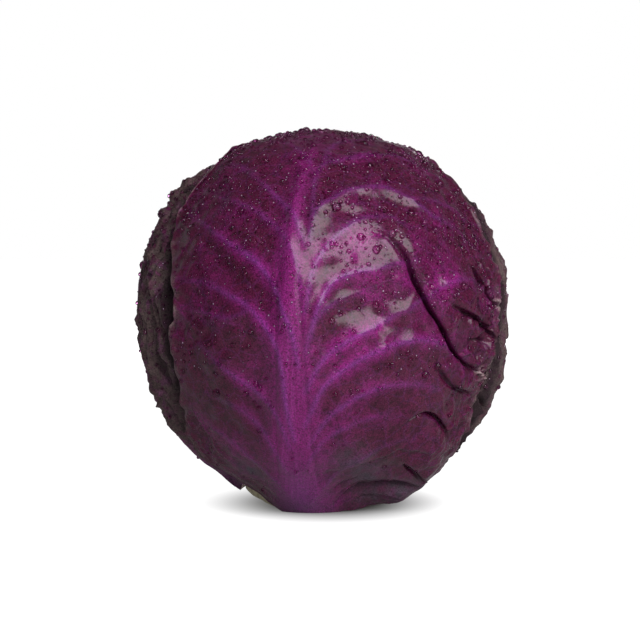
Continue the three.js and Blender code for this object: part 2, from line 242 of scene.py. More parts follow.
def front_leaf():
    leaf = Leaf("leaf_1_front", 0, 11, 192, rows=306, columns=296, coarse=6)
    leaf.left_edge = [(-29, 18), (-37, 23), (-44, 30), (-47, 42), (-50, 62), (-52, 74),
                      (-54.5, 82), (-51, 91), (-50.5, 101), (-52.5, 112), (-53, 126), (-51, 138),
                      (-44, 148), (-33, 157)]
    leaf.right_edge = [(23, 13), (32, 14), (40, 18), (47, 26), (52, 36), (56, 48), (60, 57),
                       (66, 70), (70, 88), (71, 104), (69, 118), (62, 138), (48, 158)]
    leaf.midrib = [(-4.5, 13), (-7, 38), (-9, 62), (-10, 88), (-10, 108), (-7.5, 130), (-3, 150),
                   (0, 178)]
    leaf.base_spread, leaf.base_rise, leaf.base_cut = 48, (4.0, 2.0), 0.6
    leaf.crumples = [(60, 78, 15, 1.7), (46, 36, 12, 1.1), (64, 108, 12, 1.4), (17, 22, 8, 0.5),
                     (-42, 34, 10, 0.9), (-52, 80, 8, 0.4), (30, 104, 9, 0.3)]
    leaf.rib_height = (4.2, 0.4)
    leaf.rib_width = (19.0, 3.5)
    leaf.rib_lean = 1.15
    leaf.veins = [
        # left side
        ([(-8, 26), (-14, 34), (-24, 40), (-34, 44), (-42, 46)], 0.9, 4.0, 0.5),
        ([(-9, 38), (-14, 47), (-20, 54), (-28, 58), (-38, 59)], 1.0, 4.0, 0.6),
        ([(-9, 49), (-13, 58), (-18, 64), (-26, 69), (-32, 73), (-41, 79)], 1.0, 3.6, 0.8),
        ([(-8, 52), (-10.5, 63), (-12, 75), (-15, 84), (-22, 93), (-30, 98), (-38, 103), (-49, 107)],
         1.2, 3.4, 1.0),
        ([(-7, 76), (-9, 86), (-12, 93), (-15, 101), (-21, 109), (-27, 114), (-35, 123), (-45, 138)],
         1.2, 3.4, 1.0),
        ([(-6, 96), (-8, 108), (-13, 118), (-20, 126), (-29, 134), (-38, 146)], 0.9, 3.4, 0.6),
        ([(-5, 112), (-8, 121), (-11, 126), (-15, 132), (-21, 141), (-28, 152)], 1.0, 3.2, 0.8),
        ([(-2, 134), (-4, 143), (-9, 153), (-17, 163)], 0.8, 3.2, 0.5),
        ([(-22, 93), (-30, 90), (-40, 92), (-48, 94)], 0.6, 2.6, 0.4),
        # right side
        ([(-4, 24), (2, 34), (10, 42), (20, 46), (28, 45)], 1.1, 4.2, 0.4),
        ([(-5, 41), (-1, 50), (6, 55), (15, 57), (24, 56)], 1.1, 4.2, 0.5),
        ([(-4, 50), (0, 57), (5, 62), (13, 66), (21, 68), (30, 66), (38, 61)], 1.7, 4.2, 0.7),
        ([(-5, 57), (-2, 65), (1, 70), (9, 76), (17, 80), (25, 82), (33, 82), (41, 78), (48, 70)],
         2.2, 4.4, 0.9),
        ([(-5, 68), (-1, 76), (3, 80), (9, 84), (17, 88), (25, 92), (33, 94)], 2.0, 4.4, 0.9),
        ([(-5, 80), (-3, 88), (1, 93), (8, 97), (15, 99)], 1.2, 4.0, 0.5),
        ([(-4, 84), (-1, 94), (3, 101), (9, 104), (17, 106), (25, 108.5), (30, 110)], 1.4, 4.0, 1.0),
        ([(-5, 92), (-3, 104), (1, 111.5), (6, 117), (12, 122), (20, 123.5), (26, 121)], 1.0, 3.6, 0.9),
        ([(-4, 112), (-2, 123), (5, 129.5), (12, 133.5), (20, 135), (27, 132.5), (35, 129), (44, 130),
          (56, 127)], 1.5, 4.2, 0.8),
        ([(-3, 122), (-2, 136), (1, 143), (7, 147), (17, 151), (27, 155), (38, 156)], 1.5, 4.0, 0.7),
        ([(0, 142), (3, 154), (10, 162), (20, 168)], 0.9, 3.6, 0.5),
        ([(27, 132.5), (36, 137), (47, 141), (57, 139)], 1.1, 3.6, 0.4),
        ([(25, 92), (33, 97), (40, 103), (50, 107), (60, 105)], 1.3, 3.8, 0.5),
    ]
    leaf.folds = [
        # The long fold down the right side, and the dented lobe beside its lower end
        ([(11, 120), (17, 117.5), (22.5, 113.5), (27, 108), (31, 101.5), (34.5, 95), (38.5, 89),
          (42, 82), (45.5, 74.5), (49.5, 67), (54, 60), (58, 49)], 4.2, 1.25, 3.2, 2.2),
        ([(36, 76), (39, 68), (43, 60), (49, 52), (54, 42)], 0.6, 1.2, 2.2, 0.8),
        ([(38, 98), (44, 94), (51, 91), (58, 86), (64, 76), (66, 60)], 3.2, 1.1, 3.0, 1.4),
        ([(49, 78), (55, 78), (61, 72)], 1.6, 0.9, 1.2, 0.6),
        ([(47, 121), (55, 114), (62, 106), (69, 97), (70, 88)], 2.8, 1.0, 1.8, 1.0),
        ([(55, 127), (61, 120), (66, 112)], 1.6, 0.9, 1.2, 0.6),
        # The hooked fold at the lower right, and the crevices above the foot
        ([(22, 48), (27, 53), (32, 54), (36, 50), (38.5, 43), (39.5, 34)], 2.2, 1.0, 2.4, 1.2),
        ([(23, 36), (26, 31), (28.5, 25), (30, 19)], 2.4, 1.1, 2.0, 0.8),
        ([(2, 20), (8, 23.5), (14, 25), (20, 24.5), (25, 22), (30, 17)], 9.0, 3.2, 3.2, 2.4),
        ([(3, 24.5), (9, 28), (16, 29), (23, 26.5)], 1.6, 0.8, 1.2, 0.5),
        ([(2, 28), (7, 31), (13, 32)], 1.0, 0.7, 0.8, 0.3),
        ([(6, 16.5), (12, 19.5), (18, 19), (24, 15.5)], 2.4, 0.9, 1.4, 0.6),
    ]
    leaf.swells = [
        (52, 82, 5, 1.8), (60, 68, 6, 2.0), (36, 42, 8, 1.2), (48, 62, 6, 1.6), (44, 106, 6, 1.0),
        (22, 116, 8, 1.2), (26, 112, 9, 1.8), (34, 122, 10, 1.6), (50, 100, 9, 1.6), (34, 34, 9, 2.5),
        (12, 110, 7, -0.6), (12, 91, 7, -1.4), (14, 73, 7, -1.0), (20, 128, 7, -0.1), (-28, 84, 12, 0.8),
        (-30, 118, 9, -0.6), (-40, 70, 8, 0.6), (8, 140, 8, -0.8),
    ]
    leaf.bloom = [(8, 43, 6, 0.7), (-22, 31, 4, 1.0), (13, 33, 6, 0.9), (-7, 20, 6, 0.5),
                  (23, 20, 6, 0.9), (14, 20, 5, 0.8)]
    leaf.blush = [(14, 104, 9, 0.6), (10, 114, 9, 0.8), (8, 128, 8, 0.4), (4, 58, 9, 0.35),
                  (-14, 72, 9, 0.3), (25, 104, 8, 0.6), (34, 100, 7, 0.4), (-12, 40, 9, 0.3),
                  (-37, 104, 10, 0.35), (32, 91, 8, 0.35)]
    leaf.tears = [(56, 57, 2.6), (69, 99, 2.2), (58, 52, 1.6)]
    leaf.curl = 1.2
    return leaf


def plain_leaf(name, azimuth, seed, left, right, tip, rows, columns, coarse):
    """A leaf by rule, which reaches from left to right of its midrib and up to its tip."""
    leaf = Leaf(name, azimuth, seed, tip, rows, columns, coarse)
    leaf.left_edge, leaf.right_edge = side_edge(left), side_edge(right)
    leaf.veins = branch_veins(tip, left, right, np.random.default_rng(seed))
    leaf.bloom = [(0, 26, 10, 0.5), (18, 30, 8, 0.5), (-20, 28, 8, 0.4)]
    return leaf


def left_leaf():
    leaf = plain_leaf("leaf_3_left", 270, 33, -62, 64, 186, rows=270, columns=230, coarse=6)
    leaf.folds = [
        ([(3, 118), (12, 108), (22, 97), (21, 84), (20, 70)], 2.8, 1.1, 2.2, -1.0),
        ([(21, 117), (26, 104), (25, 94), (28, 82), (28, 67), (23, 55)], 3.0, 1.1, 2.2, -1.0),
        ([(17, 90), (13, 78), (14, 62), (10, 50)], 2.4, 1.1, 1.8, -0.8),
        ([(30, 132), (24, 126), (20, 118)], 2.0, 1.0, 1.4, -0.6),
        ([(4, 84), (6, 100), (3, 118)], 1.8, 1.2, 1.2, -0.5),
        ([(-30, 60), (-34, 76), (-31, 92)], 2.0, 1.3, 1.4, 0.8),
    ]
    leaf.rib_height = (1.0, 0.4)
    leaf.ruffle = 1.2
    leaf.furrow = 1.2
    leaf.worn = (-8, 10)
    leaf.room = 6.5
    leaf.rise_again = 0.36
    leaf.base_cut, leaf.base_rise = 8.0, (0.0, -1.0)
    return leaf


def rear_right_leaf():
    leaf = plain_leaf("leaf_2_right_rear", 135, 22, -68, 58, 184, rows=252, columns=212, coarse=6)
    leaf.folds = [
        ([(-57, 28), (-49, 32), (-42, 35)], 3.0, 1.2, 2.0, 0.8),
        ([(-46, 22), (-38, 25), (-32, 26)], 3.0, 1.2, 2.0, 0.8),
        ([(-63, 39), (-54, 39), (-44, 45)], 2.6, 1.1, 1.8, 0.6),
        ([(-60, 70), (-50, 76), (-43, 86), (-40, 98)], 2.6, 1.3, 1.8, 0.9),
        ([(30, 62), (38, 72), (42, 86)], 2.4, 1.3, 1.6, 0.8),
        ([(22, 122), (32, 126), (44, 122)], 2.0, 1.3, 1.4, 0.6),
    ]
    leaf.ruffle = 1.1
    leaf.furrow = 0.6
    leaf.worn = (-26, -44)
    leaf.room = 1.2
    leaf.rise_again = 0.7
    leaf.swells = [(-52, 46, 18, 2.6)]
    leaf.base_cut, leaf.base_rise = 2.5, (3.0, 0.0)
    return leaf


LEAVES = [
    front_leaf(),
    rear_right_leaf(),
    left_leaf(),
    plain_leaf("leaf_4_right_front", 45, 44, -62, 66, 186, rows=90, columns=80, coarse=3),
    plain_leaf("leaf_5_rear", 180, 55, -64, 62, 188, rows=160, columns=136, coarse=5),
    plain_leaf("leaf_6_left_front", 315, 66, -63, 60, 186, rows=90, columns=80, coarse=3),
    plain_leaf("leaf_7_right", 90, 77, -60, 64, 186, rows=90, columns=80, coarse=3),
    plain_leaf("leaf_8_left_rear", 225, 88, -62, 61, 186, rows=90, columns=80, coarse=3),
]


def leaf_grid(leaf):
    """Rows and columns of (lateral, along) that fill the leaf's outline, edge to edge."""
    across = np.linspace(-1, 1, leaf.columns)
    turn = np.radians(leaf.base_spread * across)
    rise = np.where(across < 0, *leaf.base_rise) * across**2
    polar = np.radians(FOOT_POLAR + leaf.base_cut + rise)
    lateral = np.arcsin(np.sin(polar) * np.sin(turn))
    along = np.arctan(np.tan(polar) * np.cos(turn))
    base = np.degrees(np.stack([lateral, along], -1))
    left = smooth([base[0]] + leaf.left_edge, leaf.rows)
    right = smooth([base[-1]] + leaf.right_edge, leaf.rows)
    shoulders = [(0.55 * side[-1, 0], leaf.tip - 4) for side in (left, right)]
    top = smooth([left[-1], shoulders[0], (0, leaf.tip), shoulders[1], right[-1]], leaf.columns)
    u = np.linspace(0, 1, leaf.columns)[None, :, None]
    v = np.linspace(0, 1, leaf.rows)[:, None, None]
    sides = (1 - u) * left[:, None] + u * right[:, None]
    ends = (1 - v) * base[None] + v * top[None]
    low, high = (1 - u) * base[0] + u * base[-1], (1 - u) * top[0] + u * top[-1]
    corners = (1 - v) * low + v * high
    return sides + ends - corners


def inset_of(places):
    """Distance from each place of a grid to the leaf's free edge: its sides and its top."""
    across = np.linalg.norm(np.diff(places, axis=1), axis=2)
    upward = np.linalg.norm(np.diff(places, axis=0), axis=2)
    zero = np.zeros((len(places), 1))
    from_left = np.hstack([zero, across.cumsum(1)])
    from_right = np.hstack([across[:, ::-1].cumsum(1)[:, ::-1], zero])
    from_top = np.vstack([upward[::-1].cumsum(0)[::-1], np.zeros((1, places.shape[1]))])
    return np.minimum(np.minimum(from_left, from_right), from_top)


# ---- The surface of a leaf ----
def ridges(value):
    """Sharp crests at 1, with rounded hollows between them down to 0."""
    return 1 - np.abs(np.sin(value))


RIB_FOOT = 12  # how far along its leaf a midrib starts
RIB_TAPER = 1.6  # how soon it thins
RIB_POINTS, RIB_REACH = 40, 30  # on its line, and how far off it is felt
RIB_LEAN_AT, RIB_LEAN_SPREAD = 112, 34  # where along the leaf its broad right flank is
SEAM_WIDTH, SEAM_DEPTH = 0.9, 0.45  # the groove down each side of it
SEAM_STARTS, SEAM_ENDS = (22, 44), (92, 118)  # along the leaf, both gradually
VEINS_FADE = (112, 140)  # along the leaf, towards the crown
VIOLET_FADES = (20, 54)  # the violet of the midrib's base
FLUSH_STARTS, FLUSH_FADES = (22, 52), (112, 138)
FLUSH_REACH = 4.4  # the magenta beside a vein
FOLD_REACH = 16  # no fold is felt further off than this
LIP_REACH, FAR_SIDE_REACH = 7, 5  # the banks on the two sides of a fold
PUCKER_RISE, FURROW_RISE, CRUMPLE_RISE = 0.35, 3.4, 1.4
EDGE_LIFT = 5  # how far in from the free edge the leaf starts to lift


class Relief:
    """The outer face of one leaf over the head's form, at some places: how far it stands up (height), how
    far it is pushed sideways (drift), and the masks that its colours follow."""

    def __init__(self, leaf, places, lateral, along, inset):
        self.leaf, self.places, self.along, self.inset = leaf, places, along, inset
        self.outward = places / np.linalg.norm(places, axis=1)[:, None]
        self.height, self.drift = np.zeros(len(places)), np.zeros((len(places), 3))
        self.masks = {}
        self.add_midrib()
        crest = self.add_veins()
        self.add_folds()
        self.add_torn_bits()
        for swell_lateral, swell_along, spread, rise in leaf.swells:
            self.height += rise * self.near(swell_lateral, swell_along, spread)
        self.masks["bloom"] = self.patches(leaf.bloom)
        if leaf.crumples:
            self.add_crumples()
        self.add_unevenness()
        self.masks["worn"] = step(lateral, *leaf.worn) if leaf.worn else np.zeros(len(places))
        if leaf.furrow:
            self.add_furrows()
        self.lift_edge()
        self.height = self.height + crest

    def wander(self, wavelength, stream):
        return wander(self.places, wavelength, self.leaf.seed + stream)

    def near(self, lateral, along, spread):
        """1 at one place of the leaf, fading over spread degrees round it."""
        peak = directions(np.array(lateral), np.array(along), self.leaf.azimuth)
        return bell(apart(self.outward, peak), spread)

    def patches(self, spots):
        """The strongest of the patches (lateral, along, spread, strength) at each place."""
        strongest = np.zeros(len(self.places))
        for lateral, along, spread, strength in spots:
            strongest = np.maximum(strongest, strength * self.near(lateral, along, spread))
        return strongest

    def darken(self, shade):
        # Painted shade: raises the fold mask, which darkens the skin's colour.
        self.masks["fold"] = np.maximum(self.masks["fold"], shade)

    def add_midrib(self):
        """A broad back that narrows to nothing near the tip, with a seam down each side."""
        leaf, along = self.leaf, self.along
        upward = np.clip((along - RIB_FOOT) / (leaf.tip - RIB_FOOT), 0, 1)
        (tall, low), (wide, narrow) = leaf.rib_height, leaf.rib_width
        width = narrow + (wide - narrow) * (1 - upward) ** RIB_TAPER
        tall = low + (tall - low) * (1 - upward) ** RIB_TAPER
        away, share, side = beside(self.places, leaf.heading(leaf.midrib, RIB_POINTS), RIB_REACH)
        leaning = leaf.rib_lean * bell(along - RIB_LEAN_AT, RIB_LEAN_SPREAD)
        flank = np.where(side > 0, 1 + 0.7 * leaning, 1 - 0.3 * leaning)
        back = np.exp(-((away / (0.78 * width * flank)) ** (2.6 - leaning)))
        fade = 1 - step(share, 0.8, 1.0)
        self.rib = tall * (1 + leaning) * back * fade
        self.off_rib = 1 - back * fade
        self.seam = bell(away - 0.5 * width, SEAM_WIDTH) * step(along, *SEAM_STARTS)
        self.seam = self.seam * (1 - step(along, *SEAM_ENDS))
        self.height -= SEAM_DEPTH * self.seam
        self.masks["rib"] = np.exp(-((away / (0.62 * width)) ** 2) * 1.2) * (1 - step(share, 0.55, 1.0))
        self.rib_flush = 0.75 * bell(away, 0.95 * width) * (1 - 0.6 * step(share, 0.45, 1.0))

    def add_veins(self):
        """Sharp crests with hollow leaf between them, a stain on each and a wider flush round it."""
        along = self.along
        crest, stain, flush = np.zeros(len(along)), np.zeros(len(along)), self.rib_flush
        for route, tall, width, colour in self.leaf.veins:
            away, share, _ = beside(self.places, self.leaf.heading(route), 5 * width)
            thinning = 1 - 0.75 * step(share, 0.45, 1.0)
            taper = step(share, -0.25, 0.2) * thinning
            crest += (tall * taper * np.exp(-away / width) * (1 - np.exp(-away * 3) * 0.12)) ** 2
            stain = np.maximum(stain, colour * taper * bell(away, 0.12 * width + 0.7))
            glow = 0.72 * colour * step(share, -0.05, 0.4) * thinning
            flush = np.maximum(flush, glow * bell(away, FLUSH_REACH))
        stain = stain * (1 - 0.4 * step(along, *VEINS_FADE))
        self.masks["vein"] = np.maximum(stain, 0.8 * self.masks["rib"] * (1 - step(along, *VIOLET_FADES)))
        flush = np.maximum(flush, self.patches(self.leaf.blush))
        flush = flush * (1 - 0.5 * step(along, *FLUSH_FADES))
        self.masks["flush"] = flush * (0.45 + 0.55 * step(along, *FLUSH_STARTS))
        return np.sqrt(crest)

    def add_folds(self):
        """Each fold is a narrow groove under a raised lip that leans over it, with painted shade darkening
        the groove.
        """
        shade = np.zeros(len(self.places))
        for route, deep, width, lip, lean in self.leaf.folds:
            line = self.leaf.heading(route)
            away, share, side = beside(self.places, line, FOLD_REACH)
            taper = step(share, 0, 0.35) * (1 - step(share, 0.6, 1.0))
            on_lip = side < 0
            width = width * (0.35 + 0.65 * taper)
            groove = 0.65 * bell(away, width) + 0.5 * np.exp(-away / (3 * width))
            bank = np.where(on_lip, bell(away, LIP_REACH), 0.3 * bell(away, FAR_SIDE_REACH))
            self.height += taper * (lip * bank - (deep + 0.6 * lip) * groove)
            overhang = np.where(on_lip, step(away, 0.2, 1.6) * bell(away, 4.5), 0)
            nearest = np.clip((share * (len(line) - 1)).astype(int), 0, len(line) - 1)
            sideways = np.cross(np.gradient(line, axis=0)[nearest], self.outward)
            sideways /= np.linalg.norm(sideways, axis=1)[:, None] + 1e-9
            self.drift += (taper * lean * overhang)[:, None] * sideways
            # Painted shade: the groove's skin is darkened, the more the deeper it is.
            dark = min(max(deep / 6, 0.75), 1.5)
            shade = np.maximum(shade, dark * taper * bell(away, 0.7 * width))
        # The fold mask also carries a lighter painted shade down the midrib's seams.
        self.masks["fold"] = np.maximum(shade, 0.25 * self.seam)

    def add_torn_bits(self):
        torn = np.zeros(len(self.places))
        for lateral, along, radius in self.leaf.tears:
            middle = self.leaf.heading([(lateral, along), (lateral + 0.1, along)], 2)[0]
            torn = np.maximum(torn, bell(np.linalg.norm(self.places - middle, axis=1), radius))
        jagged = self.wander([2.6, 2.6, 1.8], 8)
        self.height += torn * (1.0 + 0.9 * jagged)
        self.masks["torn"] = torn * step(jagged, -0.3, 0.9)

    def add_crumples(self):
        """Creased skin: large and small sharp-crested wrinkles, with painted shade in the hollows of the
        large ones.
        """
        creased = self.patches(self.leaf.crumples)
        large = ridges(self.wander([10, 10, 16], 9))
        small = ridges(self.wander([5, 5, 8], 10))
        self.height += creased * (1.7 * (large - 0.5) + 0.7 * (small - 0.5))
        self.darken(0.5 * np.minimum(creased, 1) * step(0.22 - large, 0, 0.22))

    def add_unevenness(self):
        """Broad, then small puckers that grow towards the edge. All of it keeps off the midrib."""
        self.height += 0.5 * self.wander(34, 0) * self.off_rib
        self.height += 0.2 * self.wander(11, 1) * self.off_rib
        pucker = ridges(0.9 * self.wander(17, 2))
        self.height += PUCKER_RISE * (pucker - 0.4) * self.off_rib * (1 - 0.7 * step(self.inset, 5, 40))

    def add_furrows(self):
        """Long upright furrows, and crumples on them, where the leaf is weathered, with painted shade in
        the furrows' hollows.
        """
        strength = self.leaf.furrow * (0.12 + 0.88 * self.masks["worn"])
        ridged = ridges(1.1 * self.wander([11, 11, 110], 5))
        crumpled = ridges(self.wander([7, 7, 22], 6))
        furrows = FURROW_RISE * (ridged - 0.45) + CRUMPLE_RISE * (crumpled - 0.5)
        self.height += strength * furrows * self.off_rib
        self.darken(0.9 * strength * step(0.36 - ridged, 0, 0.3))

    def lift_edge(self):
        """The free edge lifts and ruffles."""
        leaf = self.leaf
        edge = np.exp(-self.inset / EDGE_LIFT) * step(self.along, 12, 24)
        self.height += edge * (leaf.curl + leaf.ruffle * np.tanh(0.8 * self.wander(15, 3)))
        self.height += 0.3 * leaf.ruffle * edge * np.tanh(self.wander(7, 4))
        self.masks["edge"] = np.exp(-self.inset / 1.1)


# ---- Stacking ----
LEAF_GAP = 0.25  # from leaf to leaf
CEILING_STEP = 1.5  # degrees from cell to cell
NO_LEAF = 200.0  # radius where no leaf has been laid
EDGE_CELLS = 1.6  # how many cells a leaf's edge fades over, to each side
SHADE_CELLS = 5.0  # and the painted shade in the gap beside it
POLE_SINE = 0.06  # near the poles a cell counts as this wide, so that spans stay finite
DRAPE_STEPS = 24  # how many cells a leaf's edge is felt beyond it


class Ceiling:
    """How far out the next leaf may lie in each direction, under all the leaves laid so far."""

    def __init__(self):
        self.azimuths = np.arange(0, 360, CEILING_STEP)
        self.polars = np.arange(0, 180 + CEILING_STEP / 2, CEILING_STEP)
        a, p = np.radians(np.meshgrid(self.azimuths, self.polars, indexing="ij"))
        self.unit = np.stack([np.sin(p) * np.sin(a), -np.sin(p) * np.cos(a), -np.cos(p)], -1)
        self.radius = np.full(a.shape, NO_LEAF)
        self.covered = np.zeros(a.shape)

    def cells(self, places):
        """Where each place is among the cells, in cells."""
        polar = np.degrees(polar_of(places / np.linalg.norm(places, axis=1)[:, None]))
        azimuth = np.degrees(np.arctan2(places[:, 0], -places[:, 1])) % 360
        return azimuth / CEILING_STEP, polar / CEILING_STEP

    def read(self, field, places):
        """The field's value in the direction of each place, between the cells' values."""
        a, p = self.cells(places)
        a0, p0 = a.astype(int), np.minimum(p.astype(int), field.shape[1] - 2)
        ta, tp = a - a0, p - p0
        a1, turns = (a0 + 1) % len(field), len(field)
        a0 = a0 % turns
        low = field[a0, p0] * (1 - ta) + field[a1, p0] * ta
        high = field[a0, p0 + 1] * (1 - ta) + field[a1, p0 + 1] * ta
        return low * (1 - tp) + high * tp

    def lower(self, places):
        """Lays a leaf whose inner face has these places."""
        a, p = self.cells(places)
        cell = (np.round(a).astype(int) % len(self.radius), np.round(p).astype(int))
        laid = np.full(self.radius.shape, NO_LEAF)
        np.minimum.at(laid, cell, np.linalg.norm(places, axis=1))
        for axis in (0, 1):
            laid = np.minimum(laid, np.minimum(self.shifted(laid, 1, axis), self.shifted(laid, -1, axis)))
        self.covered = np.maximum(self.covered, laid < NO_LEAF)
        self.radius = np.minimum(self.radius, laid)

    def blurred(self, field, cells=EDGE_CELLS):
        """The field evened out over some cells to each side, as far near the crown as elsewhere."""
        spans = cells / np.maximum(np.sin(np.radians(self.polars)), POLE_SINE)
        blurred = field.copy()
        for column, span in enumerate(np.round(spans).astype(int)):
            ways = range(-span, span + 1)
            blurred[:, column] = np.mean([np.roll(field[:, column], way) for way in ways], 0)
        for _ in range(round(cells * cells)):
            blurred = (2 * blurred + self.shifted(blurred, 1, 1) + self.shifted(blurred, -1, 1)) / 4
        return blurred

    def draped(self, slope):
        """The radius field, rising no faster than slope beyond the edges of the leaves laid so far."""
        radius = self.radius
        for _ in range(DRAPE_STEPS):
            for axis, way in ((0, 1), (0, -1), (1, 1), (1, -1)):
                stride = np.linalg.norm(self.unit - self.shifted(self.unit, way, axis), axis=2)
                reach = stride * HALF_WIDTH
                radius = np.minimum(radius, self.shifted(radius, way, axis) + slope * reach)
        even = self.blurred(radius)
        return np.where(self.covered > 0, np.minimum(radius, even), even)

    @staticmethod
    def shifted(field, way, axis):
        """The field moved one cell: round the head along azimuth, and repeating its end along polar."""
        if axis == 0:
            return np.roll(field, way, 0)
        moved = np.roll(field, way, 1)
        moved[:, 0 if way > 0 else -1] = field[:, 0 if way > 0 else -1]
        return moved


# ---- Meshes ----
def mesh_piece(name, places, faces, masks=None):
    """A smooth-shaded mesh piece from places in millimetres about the head's middle."""
    mesh = bpy.data.meshes.new(name)
    mesh.from_pydata(((places + MIDDLE) * MM).tolist(), [], faces)
    for mask, values in (masks or {}).items():
        attribute = mesh.attributes.new(mask, "FLOAT", "POINT")
        attribute.data.foreach_set("value", values.astype(np.float32))
    mesh.shade_smooth()
    mesh.validate()
    piece = bpy.data.objects.new(name, mesh)
    bpy.context.scene.collection.objects.link(piece)
    return piece


def lowest_nearby(grid, reach):
    """Each entry's lowest neighbour within reach rows and columns."""
    for axis in (0, 1):
        lowest = grid.copy()
        for way in range(1, reach + 1):
            ahead, behind = np.roll(grid, -way, axis), np.roll(grid, way, axis)
            edge = [slice(None)] * 2
            edge[axis] = slice(-way, None)
            ahead[tuple(edge)] = grid[tuple(edge)]
            edge[axis] = slice(None, way)
            behind[tuple(edge)] = grid[tuple(edge)]
            lowest = np.minimum(lowest, np.minimum(ahead, behind))
        grid = lowest
    return grid


def coarse_picks(count, every):
    """Indices of every nth row or column, with the last one always among them."""
    picks = list(range(0, count - 1, every))
    if count - 1 - picks[-1] < every / 2 and len(picks) > 1:
        picks.pop()
    return picks + [count - 1]


def shell_faces(rows, columns, row_picks, column_picks):
    """Faces of a closed shell: the fine outer grid, the coarse inner grid after it, and the rim."""
    outer = np.arange(rows * columns).reshape(rows, columns)
    inner = np.arange(len(row_picks) * len(column_picks)).reshape(len(row_picks), len(column_picks))
    inner += rows * columns
    a, b, c, d = outer[:-1, :-1], outer[:-1, 1:], outer[1:, 1:], outer[1:, :-1]
    faces = np.stack([a, b, c, d], -1).reshape(-1, 4).tolist()
    a, b, c, d = inner[:-1, :-1], inner[:-1, 1:], inner[1:, 1:], inner[1:, :-1]
    faces += np.stack([a, d, c, b], -1).reshape(-1, 4).tolist()
    sides = [
        (outer[0, ::-1], inner[0, ::-1], [columns - 1 - k for k in column_picks[::-1]]),
        (outer[-1], inner[-1], column_picks),
        (outer[:, 0], inner[:, 0], row_picks),
        (outer[::-1, -1], inner[::-1, -1], [rows - 1 - k for k in row_picks[::-1]]),
    ]
    for edge, below, picks in sides:
        for k in range(len(picks) - 1):
            faces.append(edge[picks[k]:picks[k + 1] + 1].tolist() + [int(below[k + 1]), int(below[k])])
    return faces


BLADE, BASE_MORE = 0.9, 1.7  # how thick a leaf is, and its base besides
BASE_THINS = (16, 46)  # along the leaf
UNCOVERED = (0.1, 0.6)  # how far the cover has faded where a leaf starts to be bare, and is bare
DEWY_HEIGHT = (0.2, 0.75)  # shares of the head's height from which, and above which, the dew is thick
DRY_FOOT = 0.04
RIB_PRESSED = 0.7  # how much of a midrib's height is lost under the leaf above
RIB_SOLID = 0.8  # and how much of it is flesh, the rest being a bulge of the inner face
DULL_EDGE = 5  # how far in from the free edge the skin is dull
SHOWN_CUT = 2  # a base cut higher than this, in degrees, shows its pale cut face
GAP_SHADE = 1.25  # how dark the shade is that is painted on a leaf beside the edge of the leaf above
GAP_NEARS = (0.02, 0.32)  # the spread cover's shares where that painted shade starts, and is full


def thickness_at(along, inset):
    """A leaf is thick at its base and thin at its free edge."""
    base = 1 - step(along, *BASE_THINS)
    return (BLADE + BASE_MORE * base) * (0.55 + 0.45 * step(inset, 0, 5))


def dew_at(leaf, places, outer, inset, hidden):
    """How wet the leaf is: less low down, in clumps, and not at all under the leaf above."""
    rise = (outer[:, 2] + MIDDLE[2]) / HEIGHT
    clumps = np.clip(0.75 + 0.35 * wander(places, 22, leaf.seed + 7), 0.15, 1)
    wet = (0.05 + 0.95 * step(rise, *DEWY_HEIGHT)) * clumps * step(inset, 0.3, 1.5)
    return np.where(hidden > 0.05, 0, wet * (rise > DRY_FOOT))


